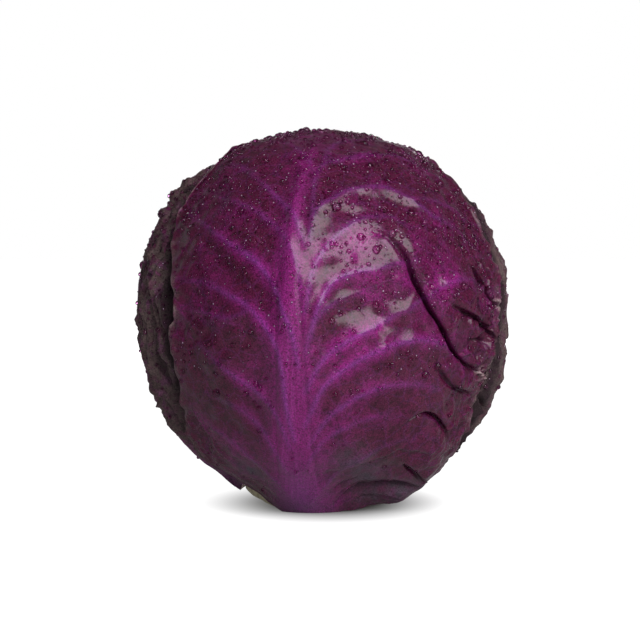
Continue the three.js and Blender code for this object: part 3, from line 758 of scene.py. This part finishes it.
def make_leaf(leaf, ceiling):
    """A leaf as a closed shell, laid under all the leaves made before it."""
    grid = leaf_grid(leaf)
    unit = directions(grid[..., 0], grid[..., 1], leaf.azimuth)
    places = unit * form_radius(unit)[..., None]
    inset_grid = inset_of(places)
    flat, flat_unit, inset = places.reshape(-1, 3), unit.reshape(-1, 3), inset_grid.ravel()
    lateral, along = grid.reshape(-1, 2).T
    relief = Relief(leaf, flat, lateral, along, inset)

    # The outer face: full relief where the leaf is bare, and none but the midrib's where it is hidden.
    under_edge = ceiling.read(ceiling.blurred(ceiling.covered), flat)
    under_shade = ceiling.read(ceiling.blurred(ceiling.covered, SHADE_CELLS), flat)
    hidden = 1 - step(1 - under_edge, *UNCOVERED)
    bare = 1 - hidden
    limit = ceiling.read(ceiling.draped(leaf.rise_again), flat) - LEAF_GAP
    smooth_radius = np.minimum(np.linalg.norm(flat, axis=1), limit - leaf.room * bare)
    rib = relief.rib * (1 - RIB_PRESSED * hidden)
    radius = np.minimum(smooth_radius + relief.height * bare + rib, limit)
    outer = flat_unit * radius[:, None] + relief.drift * bare[:, None]
    outer[:, 2] = np.maximum(outer[:, 2], -MIDDLE[2])

    # The inner face: coarser, so it keeps to the lowest of the fine places round each of its own.
    inner_radius = (radius - rib * RIB_SOLID - thickness_at(along, inset)).reshape(inset_grid.shape)
    inner_fine = lowest_nearby(inner_radius, leaf.coarse // 2 + 1)
    edge = inset_grid <= 0
    inner_fine[edge] = inner_radius[edge]
    inner = unit * inner_fine[..., None]
    ceiling.lower(inner.reshape(-1, 3))
    row_picks = coarse_picks(leaf.rows, leaf.coarse)
    column_picks = coarse_picks(leaf.columns, leaf.coarse)
    inner = inner[np.ix_(row_picks, column_picks)].reshape(-1, 3)
    inner[:, 2] = np.maximum(inner[:, 2], -MIDDLE[2])

    # Painted shade: the skin beside the edge of the leaf above is darkened, as if in that leaf's shadow.
    relief.darken(GAP_SHADE * step(under_shade, *GAP_NEARS))
    masks = relief.masks
    masks["off_rib"], masks["up_leaf"] = lateral * MM_PER_DEGREE, along * MM_PER_DEGREE
    masks["dew"] = dew_at(leaf, flat, outer, inset, hidden)
    masks["dull"] = np.exp(-inset / DULL_EDGE)
    masks["cut"] = np.zeros(len(flat))
    if leaf.base_cut > SHOWN_CUT:
        masks["cut"][:leaf.columns] = 1.0
    masks = {name: np.concatenate([values, np.zeros(len(inner))]) for name, values in masks.items()}
    masks["cut"][len(flat):len(flat) + len(column_picks)] = masks["cut"][0]
    faces = shell_faces(leaf.rows, leaf.columns, row_picks, column_picks)
    return mesh_piece(leaf.name + "_skin", np.concatenate([outer, inner]), faces, masks)


HEART_FOOT = 30.0  # the heart sits on the core, so its foot is drawn in above the stem's collar
HEART_GAP = 1.2
HEART_RISE_AGAIN = 0.2  # as a leaf's rise_again
HEART_RIPPLE = 0.4


def make_heart(ceiling):
    """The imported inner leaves, as one closed body just under the last leaf."""
    azimuths, polars = 120, 60
    a, p = np.meshgrid(np.radians(np.arange(azimuths) * 360 / azimuths),
                       np.radians(np.linspace(0, 180, polars + 2)[1:-1]), indexing="ij")
    unit = np.stack([np.sin(p) * np.sin(a), -np.sin(p) * np.cos(a), -np.cos(p)], -1).reshape(-1, 3)
    unit = np.vstack([unit, [[0, 0, -1], [0, 0, 1]]])
    places = unit * form_radius(unit)[:, None]
    ripple = 0.5 * wander(places, 20, 91) + 0.3 * (1 - np.abs(wander(places, [8, 8, 50], 92)))
    limit = ceiling.read(ceiling.draped(HEART_RISE_AGAIN), places)
    radius = np.minimum(np.linalg.norm(places, axis=1), limit) - HEART_GAP + ripple * HEART_RIPPLE
    column = np.arange(azimuths * polars).reshape(azimuths, polars)
    beside_column = np.roll(column, -1, 0)
    quads = np.stack([column[:, :-1], beside_column[:, :-1], beside_column[:, 1:], column[:, 1:]], -1)
    faces = quads.reshape(-1, 4).tolist()
    foot, crown = len(unit) - 2, len(unit) - 1
    faces += [[foot, int(b), int(a)] for a, b in zip(column[:, 0], beside_column[:, 0])]
    faces += [[crown, int(a), int(b)] for a, b in zip(column[:, -1], beside_column[:, -1])]
    places = unit * radius[:, None]
    places[:, 2] = np.maximum(places[:, 2], HEART_FOOT - MIDDLE[2])
    return mesh_piece("heart_leaves", places, faces)


ceiling = Ceiling()
leaf_pieces = [make_leaf(leaf, ceiling) for leaf in LEAVES]
heart = make_heart(ceiling)


# ---- Stem ----
STEM_SIDES = 160
SCAR_AZIMUTH = 282.0  # where an older leaf was cut away, its pale base still shows
SCAR_TURN = 40  # degrees that it spreads over
SCAR_RISE, SCAR_HEIGHT = 0.08, 0.08  # shares of the stem's height, as the collar's are
SCAR_SWELL = 0.3
COLLAR_RISE, COLLAR_HEIGHT = 0.13, 0.09
COLLAR_LOBES = 0.035  # how much it goes in between the old leaf bases
COLLAR_WAVE = 1.2  # and how far its rim goes up and down
# From the cut face by the collar and up the core: share of the radius, and of the height
STEM_PROFILE = [(0.0, 0.0), (0.3, 0.0), (0.62, 0.0), (0.7, 0.02), (0.86, 0.08), (1.0, 0.14), (0.93, 0.2),
                (0.64, 0.32), (0.46, 0.56), (0.28, 0.85), (0.1, 0.985), (0.0, 1.0)]


def make_stem():
    """The trimmed stem: a cut face, a collar of old leaf bases, and the core up inside the head."""
    low, high = (np.array(corner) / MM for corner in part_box("stem"))
    radius, height = (high[0] - low[0]) / 2, high[2] - low[2]
    profile = smooth(STEM_PROFILE, 90)
    turn = np.linspace(0, 2 * math.pi, STEM_SIDES, endpoint=False)
    azimuth = np.degrees(turn)
    off_scar = np.abs((azimuth - SCAR_AZIMUTH + 180) % 360 - 180)
    share, rise = profile[1:-1, :1], profile[1:-1, 1:]
    collar = bell(rise - COLLAR_RISE, COLLAR_HEIGHT)
    scar = bell(off_scar, SCAR_TURN) * bell(rise - SCAR_RISE, SCAR_HEIGHT)
    lobes = np.sin(5 * turn) * np.sin(3 * turn + 1) - 1
    swell = 1 + SCAR_SWELL * scar + collar * COLLAR_LOBES * lobes
    reach = radius * share * swell
    x, y = reach * np.sin(turn), -reach * np.cos(turn)
    z = np.maximum(height * rise, 0) + 0 * x
    z += collar * COLLAR_WAVE * np.sin(4 * turn + 0.6) * (rise > 0.03)
    x += 0.25 * wander(np.stack([x, y, z], -1).reshape(-1, 3), 5, 95).reshape(x.shape) * collar
    places = np.stack([x, y, z], -1).reshape(-1, 3)
    places = np.vstack([places, [[0, 0, 0], [0, 0, height]]]) - MIDDLE
    rings = len(share)
    ring = np.arange(rings * STEM_SIDES).reshape(rings, STEM_SIDES)
    ahead = np.roll(ring, -1, 1)
    faces = np.stack([ring[:-1], ahead[:-1], ahead[1:], ring[1:]], -1).reshape(-1, 4).tolist()
    foot, tip = rings * STEM_SIDES, rings * STEM_SIDES + 1
    faces += [[foot, int(b), int(a)] for a, b in zip(ring[0], ahead[0])]
    faces += [[tip, int(a), int(b)] for a, b in zip(ring[-1], ahead[-1])]
    return mesh_piece("stem_flesh", places, faces)


stem = make_stem()


# ---- Finishes ----
class Value:
    """A number, colour or vector that changes over a surface, for use in Python arithmetic."""

    def __init__(self, finish, socket):
        self.finish, self.socket = finish, socket

    def maths(self, operation, first, second):
        return self.finish.node("Math", {"operation": operation}, {0: first, 1: second})

    def __add__(self, other):
        return self.maths("ADD", self, other)

    def __sub__(self, other):
        return self.maths("SUBTRACT", self, other)

    def __rsub__(self, other):
        return self.maths("SUBTRACT", other, self)

    def __mul__(self, other):
        return self.maths("MULTIPLY", self, other)

    def __pow__(self, other):
        return self.maths("POWER", self, other)

    __radd__, __rmul__ = __add__, __mul__

    def between(self, low, high):
        """0 below low, 1 above high, and smooth in between."""
        settings = {"interpolation_type": "SMOOTHSTEP"}
        return self.finish.node("MapRange", settings, {"Value": self, "From Min": low, "From Max": high})


class Finish:
    """A material and the nodes that make it."""

    def __init__(self, name):
        self.material = bpy.data.materials.new(name)
        self.material.use_nodes = True
        self.tree = self.material.node_tree
        self.tree.nodes.clear()

    def node(self, kind, settings=None, sockets=None, output=0):
        """Adds a node, sets it up, then fills its sockets with values or links."""
        made = self.tree.nodes.new("ShaderNode" + kind)
        for name, setting in (settings or {}).items():
            setattr(made, name, setting)
        for name, value in (sockets or {}).items():
            if isinstance(value, Value):
                self.tree.links.new(value.socket, made.inputs[name])
            else:
                made.inputs[name].default_value = value
        return Value(self, made.outputs[output])

    def attribute(self, name):
        return self.node("Attribute", {"attribute_name": name}, output="Fac")

    def places(self):
        return self.node("TexCoord", output="Object")

    def noise(self, places, scale, detail, roughness):
        sockets = {"Vector": places, "Scale": scale, "Detail": detail, "Roughness": roughness}
        return self.node("TexNoise", None, sockets)

    def blend(self, factor, first, second):
        """A colour between first and second."""
        return self.node("Mix", {"data_type": "RGBA"}, {0: factor, 6: first, 7: second}, output=2)

    def bump(self, height, strength, distance):
        return self.node("Bump", None, {"Height": height, "Strength": strength, "Distance": distance})

    def done(self, **sockets):
        """Ends the material in a Principled shader with these socket values, _ standing for a space."""
        named = {name.replace("_", " "): value for name, value in sockets.items()}
        return self.end(self.node("BsdfPrincipled", None, named))

    def end(self, shader):
        out = self.tree.nodes.new("ShaderNodeOutputMaterial")
        self.tree.links.new(shader.socket, out.inputs["Surface"])
        return self.material


def shade(red, green, blue):
    return (red, green, blue, 1.0)


def grey(tone):
    return shade(tone, tone, tone)


# Colours that the skins of all the leaves share
MAROON = shade(0.034, 0.005, 0.016)
RIB_STREAK = shade(0.3, 0.03, 0.23)
WAX_GREY = shade(0.085, 0.07, 0.095)
# Painted shade: the colour that the fold mask darkens the skin towards
PAINTED_SHADE = shade(0.012, 0.004, 0.009)
BLEACHED_EDGE = shade(0.34, 0.24, 0.24)
TORN_SKIN = shade(0.45, 0.33, 0.34)
WET_DARK = shade(0.04, 0.003, 0.026)
PAINTED_DROP_GLINT = shade(0.95, 0.68, 0.95)
CUT_BASE = shade(0.62, 0.5, 0.4)


def fine_droplets(skin, spot):
    """Droplets too small to be meshes: where they darken the wet leaf, and painted glints of the larger
    ones, as pale specks in the colour.
    """
    dew = skin.attribute("dew").between(0.02, 0.4)
    small, large = (skin.node("TexVoronoi", {"feature": "F1"}, {"Vector": spot, "Scale": scale})
                    for scale in (640.0, 330.0))
    misted = ((1 - small.between(0.19, 0.28)) * 0.85 + (1 - large.between(0.13, 0.19))) * dew
    return misted, (1 - large.between(0.045, 0.09)) * dew


def vein_net(skin, spot):
    """The net of fine veins between the named ones: 1 on its lines."""
    warp = skin.node("TexNoise", None, {"Vector": spot, "Scale": 120.0}, output="Color")
    bent = skin.node("VectorMath", {"operation": "MULTIPLY_ADD"}, {0: warp, 1: (0.006,) * 3, 2: spot})
    net = skin.node("TexVoronoi", {"feature": "DISTANCE_TO_EDGE"}, {"Vector": bent, "Scale": 150.0})
    return 1 - net.between(0.0, 0.09)


def leaf_skin(name, lamina, flushed, midrib, veins, weather=0.0, dry=shade(0.13, 0.075, 0.085)):
    """Waxy purple leaf skin, flushed magenta near its ribs. weather is how much of it has dried to a dull
    brownish grey."""
    skin = Finish(name)
    spot = skin.places()
    rib, vein, flush = skin.attribute("rib"), skin.attribute("vein"), skin.attribute("flush")
    fold, edge, bloom = skin.attribute("fold"), skin.attribute("edge"), skin.attribute("bloom")
    dull, torn, cut = skin.attribute("dull"), skin.attribute("torn"), skin.attribute("cut")
    worn = skin.attribute("worn")

    # Patterns
    cloud = skin.noise(spot, 42.0, 4.0, 0.6)
    mottle = skin.noise(spot, 240.0, 4.0, 0.65)
    speck = skin.noise(spot, 1600.0, 2.0, 0.7)
    grain = skin.node("CombineXYZ", None, {"X": skin.attribute("off_rib"), "Y": skin.attribute("up_leaf")})
    stretched = skin.node("Mapping", None, {"Vector": grain, "Scale": (1.0, 0.045, 1.0)})
    streaks = skin.noise(stretched, 0.9, 4.0, 0.6)
    misted, glint = fine_droplets(skin, spot)
    net_line = vein_net(skin, spot)

    # The living skin: lamina, veins and midrib
    depth = (cloud.between(0.4, 0.7) * 0.35 + flush * 0.9).between(0.05, 1.0)
    colour = skin.blend(depth, lamina, flushed)
    colour = skin.blend(mottle.between(0.42, 0.66) * (0.6 - flush * 0.3), colour, MAROON)
    colour = skin.blend(net_line * 0.1, colour, veins)
    colour = skin.blend(vein * (mottle * 0.6 + 0.2), colour, veins)
    streaked = skin.blend(streaks.between(0.22, 0.78), midrib, RIB_STREAK)
    colour = skin.blend(rib * 0.9, colour, streaked)
    colour = skin.blend(rib * vein * 0.5, colour, veins)

    # What has happened to it: drying, wax, a bleached edge and torn bits, with painted shade in the folds,
    # hollows, seams and beside the edge of the leaf above
    dried = mottle.between(0.42, 0.62) * (dull * 0.7 + worn * weather) + worn * (0.6 * weather)
    colour = skin.blend(dried.between(0.0, 1.0), colour, dry)
    colour = skin.blend(bloom * (mottle.between(0.3, 0.6) * 0.5 + 0.4), colour, WAX_GREY)
    # Painted shade: the skin is darkened where the fold mask is high
    colour = skin.blend(fold * 0.65, colour, PAINTED_SHADE)
    bleached = edge * (cloud.between(0.42, 0.6) * 0.55 + 0.12) * mottle.between(0.35, 0.6)
    colour = skin.blend(bleached, colour, BLEACHED_EDGE)
    colour = skin.blend(torn * 0.85, colour, TORN_SKIN)

    # Grain, water, painted glints and the cut base
    grained = (speck * 3.2 - 0.6) * (1 - misted * 0.35)
    colour = skin.node("VectorMath", {"operation": "SCALE"}, {0: colour, "Scale": grained})
    colour = skin.blend(misted * 0.3, colour, WET_DARK)
    # Painted highlights: pale specks stand in for the glints of droplets too small to be meshes
    colour = skin.blend(glint * 0.9, colour, PAINTED_DROP_GLINT)
    colour = skin.blend(cut.between(0.3, 0.8), colour, CUT_BASE)

    # Gloss: duller where it is waxy, folded, dry or misted, and on the crown
    crown = skin.node("SeparateXYZ", None, {0: spot}, output=2).between(0.145, 0.165)
    roughness = 0.16 + mottle * 0.1 + bloom * 0.3 + fold * 0.3 + rib * 0.06 + dull * 0.2
    roughness = roughness + worn * (0.3 * weather) + misted * 0.45 + crown * 0.2
    unevenness = net_line * 0.12 + streaks * rib * 0.4 + mottle * 0.3 + speck * 0.15
    normal = skin.bump(unevenness, 0.4, 0.0004)
    return skin.done(Base_Color=colour, Roughness=roughness, Specular_IOR_Level=0.36, Normal=normal)


def stem_finish():
    """Cream cut flesh: mottled, with darker brownish fibres."""
    flesh = Finish("stem_flesh")
    spot = flesh.places()
    upright = flesh.node("Mapping", None, {"Vector": spot, "Scale": (1.0, 1.0, 0.15)})
    fibres = flesh.noise(upright, 900.0, 4.0, 0.6)
    cloud = flesh.noise(spot, 90.0, 4.0, 0.6)
    colour = flesh.blend(cloud.between(0.3, 0.7), shade(0.62, 0.55, 0.36), shade(0.75, 0.7, 0.52))
    colour = flesh.blend(fibres.between(0.5, 0.75) * 0.5, colour, shade(0.4, 0.3, 0.18))
    normal = flesh.bump(fibres + cloud, 0.6, 0.0006)
    return flesh.done(Base_Color=colour, Roughness=0.62 + fibres * 0.15, Normal=normal)


WATER_IOR = 1.33
SHINE_AHEAD, SHINE_ASKANCE = 0.028, 0.16  # how much a drop mirrors, seen straight on and at its rim


def water_finish():
    """Water that lets light through to the leaf below it. What is seen through it is tinted dark magenta,
    a painted shade that darkens each drop, and its shadow lets through a tinted third of the light.
    """
    water = Finish("water")
    # Painted shade: the light seen through a drop is tinted dark magenta.
    clear = water.node("BsdfRefraction", None,
                       {"Color": shade(0.85, 0.55, 0.78), "Roughness": 0.0, "IOR": WATER_IOR})
    shine = water.node("BsdfGlossy", None, {"Color": grey(1), "Roughness": 0.03})
    grazing = water.node("LayerWeight", None, {"Blend": 0.5}, output="Facing")
    mirrored = grazing ** 4 * SHINE_ASKANCE + SHINE_AHEAD
    clear = water.node("MixShader", None, {0: mirrored, 1: clear, 2: shine})
    through = water.node("BsdfTransparent", None, {"Color": shade(0.32, 0.2, 0.3)})
    shadow = water.node("LightPath", output="Is Shadow Ray")
    return water.end(water.node("MixShader", None, {0: shadow, 1: clear, 2: through}))


front_skin = leaf_skin("front_leaf_skin", lamina=shade(0.093, 0.009, 0.04),
                       flushed=shade(0.3, 0.015, 0.2), midrib=shade(0.2, 0.008, 0.125),
                       veins=shade(0.24, 0.05, 0.31))
weathered_skin = leaf_skin("weathered_leaf_skin", lamina=shade(0.09, 0.01, 0.044),
                           flushed=shade(0.27, 0.016, 0.18), midrib=shade(0.25, 0.02, 0.16),
                           veins=shade(0.28, 0.06, 0.3), weather=0.85, dry=shade(0.12, 0.075, 0.076))
inner_skin = leaf_skin("inner_leaf_skin", lamina=shade(0.09, 0.012, 0.06),
                       flushed=shade(0.2, 0.02, 0.13), midrib=shade(0.32, 0.06, 0.24),
                       veins=shade(0.3, 0.06, 0.26))
skins = [front_skin] + [weathered_skin] * 4 + [inner_skin] * 4
for piece, finish in zip(leaf_pieces + [heart], skins):
    piece.data.materials.append(finish)
stem.data.materials.append(stem_finish())
water = water_finish()


# ---- Water drops ----
SQUASH_SEED = 5
FLATTEST, FULLEST = (0.9, 0.9, 0.7), (1.08, 1.08, 0.95)  # a bead's size over its radius, the last outwards


def drop_tree():
    """Nodes that strew beads of water over a leaf, more thickly where its dew value is high."""
    tree = bpy.data.node_groups.new("water_drops", "GeometryNodeTree")
    made = {}
    new_socket = tree.interface.new_socket
    new_socket("Geometry", in_out="INPUT", socket_type="NodeSocketGeometry")
    inputs = dict.fromkeys(["Per Square Metre", "Apart", "Smallest", "Largest", "Bias"], "Float")
    inputs.update(Sides="Int", Rings="Int", Seed="Int", Water="Material")
    for name, kind in inputs.items():
        made[name] = new_socket(name, in_out="INPUT", socket_type="NodeSocket" + kind)
    new_socket("Geometry", in_out="OUTPUT", socket_type="NodeSocketGeometry")
    sizes = tree.nodes.new("NodeGroupInput").outputs

    def node(kind, settings=None, sockets=None, output=0):
        new = tree.nodes.new(kind)
        for name, setting in (settings or {}).items():
            setattr(new, name, setting)
        for name, value in (sockets or {}).items():
            if isinstance(value, bpy.types.NodeSocket):
                tree.links.new(value, new.inputs[name])
            else:
                new.inputs[name].default_value = value
        return new.outputs[output]

    def maths(operation, first, second):
        return node("ShaderNodeMath", {"operation": operation}, {0: first, 1: second})

    dew = node("GeometryNodeInputNamedAttribute", {"data_type": "FLOAT"}, {"Name": "dew"})
    spread = tree.nodes.new("GeometryNodeDistributePointsOnFaces")
    spread.distribute_method = "POISSON"
    for name, socket in (("Mesh", sizes["Geometry"]), ("Distance Min", sizes["Apart"]),
                         ("Density Max", sizes["Per Square Metre"]), ("Density Factor", dew),
                         ("Seed", sizes["Seed"])):
        tree.links.new(socket, spread.inputs[name])
    chance = node("FunctionNodeRandomValue", {"data_type": "FLOAT"}, {"Seed": sizes["Seed"]}, output=1)
    bias = maths("POWER", chance, sizes["Bias"])
    grown = maths("MULTIPLY", bias, maths("SUBTRACT", sizes["Largest"], sizes["Smallest"]))
    radius = maths("ADD", sizes["Smallest"], grown)
    squash = node("FunctionNodeRandomValue", {"data_type": "FLOAT_VECTOR"},
                  {"Min": FLATTEST, "Max": FULLEST, "Seed": SQUASH_SEED})
    size = node("ShaderNodeVectorMath", {"operation": "SCALE"}, {0: squash, "Scale": radius})
    bead = node("GeometryNodeMeshUVSphere", None,
                {"Segments": sizes["Sides"], "Rings": sizes["Rings"], "Radius": 1.0})
    strewn = node("GeometryNodeInstanceOnPoints", None,
                  {"Points": spread.outputs["Points"], "Instance": bead,
                   "Rotation": spread.outputs["Rotation"], "Scale": size})
    real = node("GeometryNodeRealizeInstances", None, {"Geometry": strewn})
    smooth_shaded = node("GeometryNodeSetShadeSmooth", None, {"Geometry": real})
    wet = node("GeometryNodeSetMaterial", None, {"Geometry": smooth_shaded, "Material": sizes["Water"]})
    tree.links.new(wet, tree.nodes.new("NodeGroupOutput").inputs["Geometry"])
    return tree, made


# Beads of water: how many on a square metre of wet leaf, how far apart and of what radius in millimetres,
# how much the small ones prevail, and faces round and down.
DROPS = {
    "mist": {"Per Square Metre": 460000.0, "Apart": 1.6, "Smallest": 0.22, "Largest": 0.42, "Bias": 1.5,
             "Sides": 6, "Rings": 4},
    "bead": {"Per Square Metre": 260000.0, "Apart": 2.3, "Smallest": 0.5, "Largest": 1.2, "Bias": 1.3,
             "Sides": 10, "Rings": 7},
    "drop": {"Per Square Metre": 14000.0, "Apart": 6.0, "Smallest": 1.1, "Largest": 2.1, "Bias": 1.5,
             "Sides": 14, "Rings": 8},
}


def strew_drops(leaf_piece, kind, tree, made, seed, share):
    """The drops of one kind on one leaf, as a plain mesh."""
    carrier = leaf_piece.copy()
    bpy.context.scene.collection.objects.link(carrier)
    modifier = carrier.modifiers.new("drops", "NODES")
    modifier.node_group = tree
    values = dict(DROPS[kind], Seed=seed, Water=water)
    values["Per Square Metre"] = values["Per Square Metre"] * share
    for name in ("Apart", "Smallest", "Largest"):
        values[name] = values[name] * MM
    for name, value in values.items():
        modifier[made[name].identifier] = value
    shown = carrier.evaluated_get(bpy.context.evaluated_depsgraph_get())
    mesh = bpy.data.meshes.new_from_object(shown)
    bpy.data.objects.remove(carrier)
    drops = bpy.data.objects.new(f"water_{kind}_{leaf_piece.name}", mesh)
    bpy.context.scene.collection.objects.link(drops)
    return drops


WETNESS = (1.0, 0.35, 0.4)  # of the three outermost leaves
drops_tree, drops_made = drop_tree()
drop_pieces = [strew_drops(piece, kind, drops_tree, drops_made, 7 * k + n, share)
               for k, (piece, share) in enumerate(zip(leaf_pieces, WETNESS))
               for n, kind in enumerate(DROPS)]


# ---- Stage ----
TABLE_HALF = 4.0
SHADOW_MIDDLE = (0.002, 0.0091, 0.0)  # the middle of the shadow painted on the table under the head
SHADOW_STRETCH = (0.86, 0.47, 1.0)  # the painted shadow is longer from front to back
SHADOW_FADES = (0.015, 0.053)  # how far off it starts to fade, and is gone
UNSEEN_GLOW = 0.05  # the table's glow as light on the head
FAR_MORE, NEAR_LESS = 1.05, 0.04  # what the seen table glows more far off, and less under the head, which paints its shadow


def make_floor():
    """A white table. It glows a little, and more with distance, so that it ends in the white backdrop; its
    glow is dimmer under the head, which paints a shadow there.
    """
    corners = [(x * TABLE_HALF, y * TABLE_HALF, 0) for x, y in ((-1, -1), (1, -1), (1, 1), (-1, 1))]
    mesh = bpy.data.meshes.new("table")
    mesh.from_pydata(corners, [], [(0, 1, 2, 3)])
    table = bpy.data.objects.new("table", mesh)
    bpy.context.scene.collection.objects.link(table)
    white = Finish("white_table")
    places = white.node("VectorMath", {"operation": "MULTIPLY"}, {0: white.places(), 1: SHADOW_STRETCH})
    away = white.node("VectorMath", {"operation": "DISTANCE"}, {0: places, 1: SHADOW_MIDDLE},
                      output="Value")
    seen = white.node("LightPath", output="Is Camera Ray")
    # Painted shadow: the table as the camera sees it glows less towards the shadow's middle.
    glow = seen * (away.between(*SHADOW_FADES) * FAR_MORE - NEAR_LESS) + UNSEEN_GLOW
    # The camera sees the paper darker than the light on the head does, so that the painted shadow shows.
    tone = white.blend(seen, grey(0.55), grey(0.25))
    paper = white.node("BsdfDiffuse", None, {"Color": tone})
    light = white.node("Emission", None, {"Color": white.blend(glow, grey(0), grey(1))})
    white.end(white.node("AddShader", None, {0: paper, 1: light}))
    mesh.materials.append(white.material)


def aim(thing, target):
    """Turns a light or the camera to look at the target."""
    thing.rotation_euler = (Vector(target) - thing.location).to_track_quat("-Z", "Y").to_euler()


# Light panels that face the head: the way they stand from its middle, how far off, width, height, power
PANELS = {
    "softbox": ((0.4, -0.74, 0.545), 1.25, 0.98, 0.98, 15.5),
    "left_rim": ((-0.85, 0.5, 0.25), 1.3, 0.6, 0.9, 0.4),
    "back_fill": ((0.0, 1.0, 0.06), 1.7, 1.3, 0.5, 13.0),
}


def make_panel(name, toward, distance, wide, tall, power):
    light = bpy.data.lights.new(name, "AREA")
    light.shape, light.size, light.size_y, light.energy = "RECTANGLE", wide, tall, power
    lamp = bpy.data.objects.new(name, light)
    bpy.context.scene.collection.objects.link(lamp)
    lamp.location = Vector(MIDDLE * MM) + Vector(toward).normalized() * distance
    aim(lamp, MIDDLE * MM)


AMBIENT = 0.12  # the backdrop's brightness as light


def make_world():
    """White where the camera sees it, and dimmer as light on the head."""
    world = bpy.data.worlds.new("studio")
    world.use_nodes = True
    tree = world.node_tree
    seen = tree.nodes.new("ShaderNodeLightPath")
    strength = tree.nodes.new("ShaderNodeMapRange")
    strength.inputs["To Min"].default_value = AMBIENT
    strength.inputs["To Max"].default_value = 1.0
    tree.links.new(seen.outputs["Is Camera Ray"], strength.inputs["Value"])
    background = tree.nodes["Background"]
    background.inputs["Color"].default_value = grey(1)
    tree.links.new(strength.outputs["Result"], background.inputs["Strength"])
    bpy.context.scene.world = world


CAMERA_DISTANCE = 1.5
CAMERA_RISE = 2.5  # degrees above the horizon
AIM_ASIDE, AIM_BELOW = -0.0010, 0.0038  # from the head's middle
HEAD_SHARE = 0.584  # of the picture's width
FRAME_WIDTH = WIDTH * MM / HEAD_SHARE  # what the picture takes in across, at the head


def make_camera():
    camera = bpy.data.cameras.new("camera")
    camera.lens = camera.sensor_width * CAMERA_DISTANCE / FRAME_WIDTH
    eye = bpy.data.objects.new("camera", camera)
    bpy.context.scene.collection.objects.link(eye)
    target = Vector((AIM_ASIDE, 0, MIDDLE[2] * MM - AIM_BELOW))
    rise = math.radians(CAMERA_RISE)
    eye.location = target + CAMERA_DISTANCE * Vector((0, -math.cos(rise), math.sin(rise)))
    aim(eye, target)
    bpy.context.scene.camera = eye


make_floor()
make_world()
for name, panel in PANELS.items():
    make_panel(name, *panel)
make_camera()
bpy.context.scene.view_settings.view_transform = "Standard"

# ---- Frame ----
# Each piece hangs from the root body, and where it stands for an imported part, that part is hidden.
for piece, leaf in zip(leaf_pieces, LEAVES):
    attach(piece, "root")
    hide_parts(leaf.name)
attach(heart, "root")
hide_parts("heart")
for piece in drop_pieces:
    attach(piece, "root")
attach(stem, "root")
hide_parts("stem")
